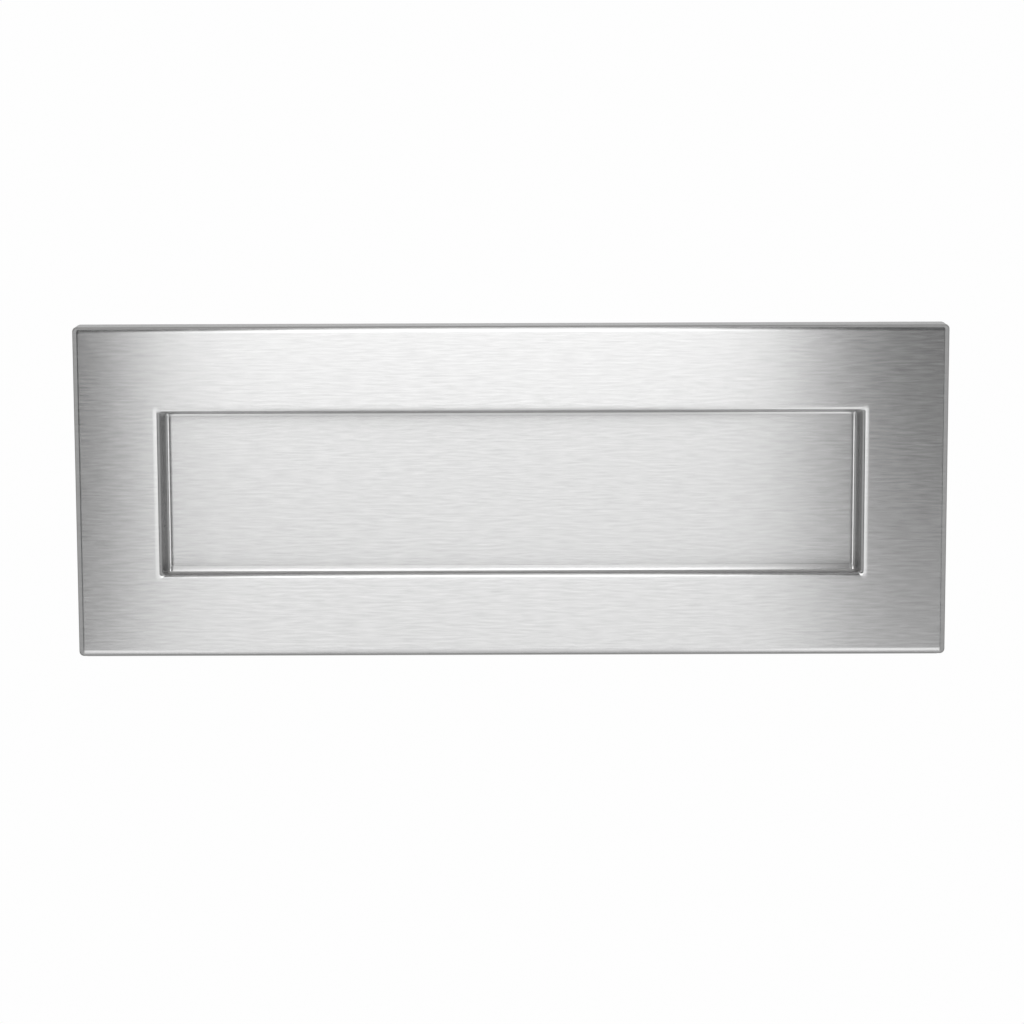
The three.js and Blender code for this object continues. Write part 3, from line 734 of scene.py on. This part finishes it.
def flap_buffer(name, side):
    """A soft rubber button with its stem in a post of the frame."""
    radius = (buffer_high.z - buffer_low.z) / 2
    face = buffer_high.y
    seat = POST_END + BUFFER_GAP
    profile = [(BUFFER_MIDDLE, buffer_low.y), (BUFFER_STEM_RADIUS, buffer_low.y),
               (BUFFER_STEM_RADIUS, seat), (radius, seat), (radius, face), (BUFFER_MIDDLE, face)]
    outline = rounded_profile(profile, BUFFER_EDGE, steps=6)
    return turned(name, outline, centre=(side * BUFFER_X, BUFFER_Z))


def door_seal():
    """A foam strip in the corner between the rim and the face, with soft round edges."""
    back_inset = RIM_THICKNESS + SEAL_GAP
    front = HOLLOW + SEAL_GAP
    front_inset = back_inset - HOLLOW * SIDE_DRAFT
    corners = [(back_inset, 0), (front_inset, front), (front_inset + SEAL_WIDTH, front),
               (front_inset + SEAL_WIDTH, 0)]
    middle = (front_inset + SEAL_WIDTH / 2, 0)
    outline = rounded_profile([middle] + corners + [middle], SEAL_EDGE, steps=5)
    return loft("door_seal_foam", [outer_ring(inset, y) for inset, y in outline[:-1]])


def fixing_stud(name, side):
    """A length of threaded bar."""
    stud = threaded_bar(name, STUD_RADIUS, STUD_PITCH, stud_low.y, stud_high.y)
    stud.data.transform(Matrix.Translation((side * STUD_X, 0, 0)))
    return stud


def stud_washer(name, side):
    """A punched washer with its edges rounded over."""
    outer = (washer_high.z - washer_low.z) / 2
    inner = STUD_RADIUS + WASHER_GAP
    low = washer_low.y
    high = washer_high.y
    middle = ((inner + outer) / 2, low)
    corners = [middle, (outer, low), (outer, high), (inner, high), (inner, low), middle]
    profile = rounded_profile(corners, WASHER_EDGE, steps=4)[:-1]
    return turned(name, profile, centre=(side * STUD_X, 0), segments=72, closed=True)


def stud_nut(name, side):
    """A hexagon nut with chamfered corners and a countersunk bore."""
    low = nut_low.y
    high = nut_high.y
    to_corner = NUT_TO_FLAT / math.cos(math.pi / 6)
    crown_end = NUT_TO_FLAT - NUT_CHAMFER_INSET
    corner_points = [(to_corner * math.sin(k * math.pi / 3), to_corner * math.cos(k * math.pi / 3))
                     for k in range(6)]
    nut = loft(name, [[(x, y, z) for x, z in corner_points] for y in (low, high)], closed=False)
    soften(nut, NUT_EDGE, segments=2, angle=50)
    crown = turned("crown", [(crown_end, low), (to_corner, low + NUT_CHAMFER),
                             (to_corner, high - NUT_CHAMFER), (crown_end, high)], segments=72)
    boolean(nut, crown, "INTERSECT")
    bore = STUD_RADIUS + BORE_GAP
    mouth = bore + NUT_SINK + CUTTER_REACH
    cutter = [(mouth, low - CUTTER_REACH), (bore, low + NUT_SINK), (bore, high - NUT_SINK),
              (mouth, high + CUTTER_REACH)]
    boolean(nut, turned("bore", cutter), "DIFFERENCE")
    nut.data.transform(Matrix.Translation((side * STUD_X, 0, 0)))
    return nut


# ---------------------------------------------------------------- brush direction
def lay_brush_lines(piece):
    """A UV map in metres whose U runs along the brushing: along X, or along Z on the upright sides."""
    mesh = piece.data
    layer = mesh.uv_layers.new(name="brush")
    for face in mesh.polygons:
        normal = face.normal
        for loop in face.loop_indices:
            point = mesh.vertices[mesh.loops[loop].vertex_index].co
            if abs(normal.x) > UPRIGHT:
                uv = (point.z, point.y)
            elif abs(normal.z) > UPRIGHT:
                uv = (point.x, point.y)
            else:
                uv = (point.x, point.z)
            layer.data[loop].uv = uv


# ---------------------------------------------------------------- materials
class Nodes:
    """A node tree, and short ways to add to it."""

    def __init__(self, owner):
        owner.use_nodes = True
        self.tree = owner.node_tree
        self.tree.nodes.clear()

    def add(self, kind, **settings):
        node = self.tree.nodes.new(kind)
        for key, value in settings.items():
            setattr(node, key, value)
        return node

    def link(self, source, target):
        self.tree.links.new(source, target)

    def ramp(self, value, low, high, from_low=0.3, from_high=0.7, kind="LINEAR"):
        """A number scaled from one range to another; noise lies mostly between 0.3 and 0.7."""
        node = self.add("ShaderNodeMapRange", interpolation_type=kind)
        for socket, number in zip(node.inputs[1:5], (from_low, from_high, low, high)):
            socket.default_value = number
        self.link(value, node.inputs[0])
        return node.outputs[0]

    def math(self, operation, first, second=0.0):
        node = self.add("ShaderNodeMath", operation=operation)
        for socket, value in zip(node.inputs, (first, second)):
            if isinstance(value, (int, float)):
                socket.default_value = value
            else:
                self.link(value, socket)
        return node.outputs[0]

    def mix(self, first, second, share):
        """Share of the second number and the rest of the first."""
        rest = self.math("MULTIPLY", first, 1 - share)
        return self.math("ADD", rest, self.math("MULTIPLY", second, share))


class Finish(Nodes):
    """A material of one Principled shader."""

    def __init__(self, name):
        self.material = bpy.data.materials.new(name)
        super().__init__(self.material)
        self.shader = self.add("ShaderNodeBsdfPrincipled")
        self.link(self.shader.outputs[0], self.add("ShaderNodeOutputMaterial").inputs[0])

    def constants(self, **values):
        """Numbers set on the Principled shader's own sockets."""
        for key, value in values.items():
            self.shader.inputs[key.replace("_", " ")].default_value = value

    def mapped(self, scale=(1, 1, 1), uv_map=None):
        """The object's own coordinates, or those of a UV map, times a scale per axis."""
        if uv_map:
            source = self.add("ShaderNodeUVMap", uv_map=uv_map).outputs[0]
        else:
            source = self.add("ShaderNodeTexCoord").outputs["Object"]
        mapping = self.add("ShaderNodeMapping")
        mapping.inputs["Scale"].default_value = scale
        self.link(source, mapping.inputs[0])
        return mapping.outputs[0]

    def noise(self, where, scale=1.0, detail=2.0, roughness=0.5):
        """Smooth noise from 0 to 1."""
        node = self.add("ShaderNodeTexNoise")
        node.inputs["Scale"].default_value = scale
        node.inputs["Detail"].default_value = detail
        node.inputs["Roughness"].default_value = roughness
        self.link(where, node.inputs["Vector"])
        return node.outputs["Fac"]

    def colours(self, value, stops):
        """A colour for each number, between stops of (number, colour)."""
        node = self.add("ShaderNodeValToRGB")
        ramp = node.color_ramp
        while len(ramp.elements) < len(stops):
            ramp.elements.new(0.5)
        for element, (position, colour) in zip(ramp.elements, stops):
            element.position = position
            element.color = (*colour, 1)
        self.link(value, node.inputs[0])
        return node.outputs[0]

    def bump(self, height, distance):
        """Small ups and downs of the surface."""
        node = self.add("ShaderNodeBump")
        node.inputs["Distance"].default_value = distance
        self.link(height, node.inputs["Height"])
        self.link(node.outputs[0], self.shader.inputs["Normal"])


def grey(level, warmth=0.0):
    """A grey, a little redder for a positive warmth and bluer for a negative one."""
    return (level * (1 + warmth), level, level * (1 - warmth))


def satin_material(name, level):
    """Metal brushed with a fine belt: long thin lines that scatter light across themselves."""
    m = Finish(name)
    m.constants(Metallic=1.0, Anisotropic=1.0, Anisotropic_Rotation=0.25)
    fine = m.noise(m.mapped(BRUSH_FINE, "brush"), detail=3, roughness=0.6)
    broad = m.noise(m.mapped(BRUSH_BROAD, "brush"), detail=4, roughness=0.6)
    cloud = m.noise(m.mapped(BRUSH_CLOUD, "brush"), detail=2)
    lines = m.mix(fine, broad, BRUSH_BROAD_SHARE)
    shade = m.mix(lines, cloud, BRUSH_CLOUD_SHARE)
    stops = [(0.3, grey(level * BRUSH_DARK)), (0.5, grey(level)), (0.7, grey(level * BRUSH_LIGHT))]
    colour = m.colours(shade, stops)
    m.link(colour, m.shader.inputs["Base Color"])
    m.link(m.ramp(lines, low=0.2, high=0.25), m.shader.inputs["Roughness"])
    tangent = m.add("ShaderNodeTangent", direction_type="UV_MAP", uv_map="brush")
    m.link(tangent.outputs[0], m.shader.inputs["Tangent"])
    m.bump(fine, BRUSH_DEPTH)
    return m.material


def cast_material():
    """The unpolished back of the casting: blasted and dull."""
    m = Finish("blasted_back")
    m.constants(Metallic=1.0)
    where = m.mapped()
    grain = m.noise(where, scale=2600, detail=3)
    blotch = m.noise(where, scale=220, detail=3)
    colour = m.colours(m.mix(grain, blotch, 0.4), [(0.35, grey(0.4, 0.01)), (0.65, grey(0.46, 0.005))])
    m.link(colour, m.shader.inputs["Base Color"])
    m.link(m.ramp(grain, low=0.5, high=0.62), m.shader.inputs["Roughness"])
    m.bump(grain, 0.05 * MM)
    return m.material


def zinc_material():
    """Bright zinc plate: faint blue and straw tints, fine scratches."""
    m = Finish("zinc_plate")
    m.constants(Metallic=1.0)
    where = m.mapped()
    blotch = m.noise(where, scale=160, detail=3)
    grain = m.noise(where, scale=3500, detail=2)
    scratch = m.noise(m.mapped((900, 5000, 900)), detail=2)
    colour = m.colours(blotch, [(0.3, (0.50, 0.53, 0.57)), (0.5, (0.58, 0.59, 0.60)),
                                (0.7, (0.62, 0.60, 0.56))])
    m.link(colour, m.shader.inputs["Base Color"])
    m.link(m.ramp(m.mix(grain, scratch, 0.5), low=0.26, high=0.42), m.shader.inputs["Roughness"])
    m.bump(grain, 0.004 * MM)
    return m.material


def drawn_material(name, level, roughness, stretch):
    """Drawn wire or bar, with fine marks that are long where the stretch is small."""
    m = Finish(name)
    m.constants(Metallic=1.0)
    lines = m.noise(m.mapped(stretch), detail=3)
    blotch = m.noise(m.mapped(), scale=240, detail=2)
    colour = m.colours(m.mix(lines, blotch, 0.4),
                       [(0.3, grey(level * 0.85, 0.01)), (0.7, grey(level * 1.12, -0.01))])
    m.link(colour, m.shader.inputs["Base Color"])
    rough = m.ramp(lines, low=roughness * 0.8, high=roughness * 1.25)
    m.link(rough, m.shader.inputs["Roughness"])
    m.bump(lines, 0.005 * MM)
    return m.material


def rubber_material():
    """Moulded black rubber with a little dust on it."""
    m = Finish("black_rubber")
    m.constants(Metallic=0.0, Sheen_Weight=0.12, Sheen_Roughness=0.5)
    where = m.mapped()
    grain = m.noise(where, scale=4200, detail=2)
    dust = m.noise(where, scale=500, detail=3)
    colour = m.colours(dust, [(0.4, grey(0.012)), (0.75, grey(0.026, 0.02))])
    m.link(colour, m.shader.inputs["Base Color"])
    m.link(m.ramp(grain, low=0.55, high=0.75), m.shader.inputs["Roughness"])
    m.bump(grain, 0.02 * MM)
    return m.material


def foam_material():
    """Closed-cell foam: small round cells cut open on its surface."""
    m = Finish("closed_cell_foam")
    m.constants(Metallic=0.0)
    cells = m.add("ShaderNodeTexVoronoi")
    cells.inputs["Scale"].default_value = 2600
    m.link(m.mapped(), cells.inputs["Vector"])
    depth = cells.outputs["Distance"]
    # darker towards the middle of each cell, where the bump sinks a pit: painted shade in the pits
    colour = m.colours(depth, [(0.1, grey(0.018)), (0.6, grey(0.05, 0.01))])
    m.link(colour, m.shader.inputs["Base Color"])
    rough = m.ramp(depth, low=0.8, high=0.95, from_low=0.0, from_high=0.7)
    m.link(rough, m.shader.inputs["Roughness"])
    m.bump(depth, 0.12 * MM)
    return m.material


def set_material(piece, *materials):
    """Gives a piece its materials, the first of them on all its faces."""
    piece.data.materials.clear()
    for material in materials:
        piece.data.materials.append(material)


def paint_back(piece):
    """The second material goes on the faces that look into the hollow of the frame or onto the door."""
    half_rim = RIM_THICKNESS * 0.5
    for face in piece.data.polygons:
        x = abs(face.center.x)
        z = abs(face.center.z)
        inside_rim = x < HALF_WIDTH - half_rim and z < HALF_HEIGHT - half_rim
        outside_wall = max(x - APERTURE_HALF_WIDTH, z - APERTURE_HALF_HEIGHT) > WALL_CLEARANCE
        in_hollow = inside_rim and outside_wall and face.center.y > BACK_START
        if in_hollow or face.normal.y > 0.5:
            face.material_index = 1


# ---------------------------------------------------------------- building and placing
SATIN_FRAME = satin_material("satin_frame", FRAME_LEVEL)
# a darker copy of the frame's satin: painted shade on the recessed flap
SATIN_FLAP_SHADED = satin_material("satin_flap", FLAP_SHADED_LEVEL)
CAST = cast_material()
ZINC = zinc_material()
ROD_STEEL = drawn_material("drawn_rod", 0.56, 0.26, (30, 4000, 4000))
SPRING_STEEL = drawn_material("spring_wire", 0.36, 0.3, (2500, 2500, 2500))
RUBBER = rubber_material()
FOAM = foam_material()


def place(piece, body, slot, nodes, *materials, angle=35):
    """Shades a finished piece, gives it its material, and stands it in for its CAD nodes."""
    set_material(piece, *materials)
    smooth(piece, angle)
    if body:
        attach(piece, body)
    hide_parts(*nodes)
    return piece


plate_frame = frame_casting()
place(plate_frame, "plate", "satin_frame", ["frame"], SATIN_FRAME, CAST)
paint_back(plate_frame)
lay_brush_lines(plate_frame)
flap = place(flap_panel(), "flap", "satin_flap", ["flap"], SATIN_FLAP_SHADED)
lay_brush_lines(flap)
place(hinge_rod(), "plate", "hinge_steel", ["hinge_rod"], ROD_STEEL)
place(door_seal(), "plate", "foam", ["door_seal"], FOAM)

screw = pan_screw()
for side_name, side in SIDES:
    place(bracket(f"hinge_bracket_{side_name}_bent", side), "plate", "zinc_steel",
          [f"hinge_bracket_{side_name}"], ZINC)
    place(rod_clip(f"rod_clip_{side_name}_open", side), "plate", "spring_steel",
          [f"rod_clip_{side_name}"], SPRING_STEEL)
    place(flap_buffer(f"flap_buffer_{side_name}_button", side), "plate", "rubber",
          [f"flap_buffer_{side_name}"], RUBBER)
    place(fixing_stud(f"fixing_stud_{side_name}_threaded", side), "plate", "zinc_steel",
          [f"fixing_stud_{side_name}"], ZINC, angle=25)
    place(stud_washer(f"stud_washer_{side_name}_punched", side), "plate", "zinc_steel",
          [f"stud_washer_{side_name}"], ZINC)
    place(stud_nut(f"stud_nut_{side_name}_hexagon", side), "plate", "zinc_steel",
          [f"stud_nut_{side_name}"], ZINC)
    for index, (place_name, x) in enumerate(zip(("inner", "outer"), SCREW_X)):
        where = Matrix.Translation((side * x, HEAD_Y, SCREW_Z))
        turn = Matrix.Rotation(side * (SCREW_TURN + SCREW_TURN_STEP * index), 4, "Y")
        name = f"bracket_screw_{side_name}_{place_name}_pan_head"
        place(copy_piece(screw, name, where @ turn), "plate", "zinc_steel",
              [f"bracket_screw_{side_name}_{place_name}"], ZINC, angle=30)
    spring = closing_spring(f"closing_spring_{side_name}_wound", side)
    place(spring, None, "spring_steel", [f"closing_spring_{side_name}"], SPRING_STEEL, angle=60)
    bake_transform(spring)
remove(screw)


# ---------------------------------------------------------------- camera, floor and light
def make_camera():
    """A camera straight in front and a little above, aimed at a point below the plate's middle."""
    data = bpy.data.cameras.new("camera")
    data.lens = CAMERA_LENS
    data.sensor_width = SENSOR_WIDTH
    data.clip_start = NEAREST_SEEN
    camera = bpy.data.objects.new("camera", data)
    bpy.context.scene.collection.objects.link(camera)
    level = math.cos(CAMERA_ELEVATION)
    camera.location = CAMERA_DISTANCE * Vector((
        math.sin(CAMERA_AZIMUTH) * level, -math.cos(CAMERA_AZIMUTH) * level, math.sin(CAMERA_ELEVATION)))
    aim = (CAMERA_TARGET - camera.location).to_track_quat("-Z", "Y").to_matrix()
    camera.rotation_euler = (aim @ Matrix.Rotation(CAMERA_ROLL, 3, "Z")).to_euler()
    bpy.context.scene.camera = camera


def make_floor():
    """A plain pale floor, far enough below to take no shadow and never to show as an edge."""
    corners = [(x * FLOOR_HALF_SIZE, y * FLOOR_HALF_SIZE, FLOOR_Z) for x, y in CORNER_SIGNS]
    floor = new_piece("floor", corners, [(0, 1, 2, 3)])
    m = Finish("pale_floor")
    m.constants(Base_Color=(0, 0, 0, 1), Roughness=1.0, Specular_IOR_Level=0.0,
                Emission_Color=(1, 1, 1, 1), Emission_Strength=BACKGROUND)
    set_material(floor, m.material)
    floor.visible_glossy = False


def window(nodes, angle, start, end, edge):
    """1 where an angle lies between two others, with soft edges."""
    rise = nodes.ramp(angle, 0, 1, start - edge, start + edge, "SMOOTHSTEP")
    fall = nodes.ramp(angle, 1, 0, end - edge, end + edge, "SMOOTHSTEP")
    return nodes.math("MULTIPLY", rise, fall)


def make_world():
    """A white room that the camera sees, and the soft boxes and dark sides that the metal reflects."""
    world = bpy.data.worlds.new("studio")
    bpy.context.scene.world = world
    nodes = Nodes(world)
    direction = nodes.add("ShaderNodeSeparateXYZ")
    nodes.link(nodes.add("ShaderNodeTexCoord").outputs["Generated"], direction.inputs[0])
    x, y, z = direction.outputs
    azimuth = nodes.math("DEGREES", nodes.math("ARCTAN2", x, nodes.math("MULTIPLY", y, -1)))
    elevation = nodes.math("DEGREES", nodes.math("ARCSINE", z))
    total = nodes.ramp(elevation, ROOM_LOW, ROOM_HIGH, -ZENITH, ZENITH)
    for strength, left, right, side_softness, bottom, top, top_softness in SOFT_BOXES.values():
        across = window(nodes, azimuth, left, right, side_softness)
        upright = window(nodes, elevation, bottom, top, top_softness)
        patch = nodes.math("MULTIPLY", nodes.math("MULTIPLY", across, upright), strength)
        total = nodes.math("ADD", total, patch)
    reflected = nodes.add("ShaderNodeBackground")
    nodes.link(nodes.math("MAXIMUM", total, 0.0), reflected.inputs["Strength"])
    seen = nodes.add("ShaderNodeBackground")
    seen.inputs["Strength"].default_value = BACKGROUND
    for shader in (reflected, seen):
        shader.inputs["Color"].default_value = (1, 1, 1, 1)
    mix = nodes.add("ShaderNodeMixShader")
    nodes.link(nodes.add("ShaderNodeLightPath").outputs["Is Camera Ray"], mix.inputs[0])
    nodes.link(reflected.outputs[0], mix.inputs[1])
    nodes.link(seen.outputs[0], mix.inputs[2])
    nodes.link(mix.outputs[0], nodes.add("ShaderNodeOutputWorld").inputs[0])


make_camera()
make_floor()
make_world()
bpy.context.scene.view_settings.view_transform = "Standard"
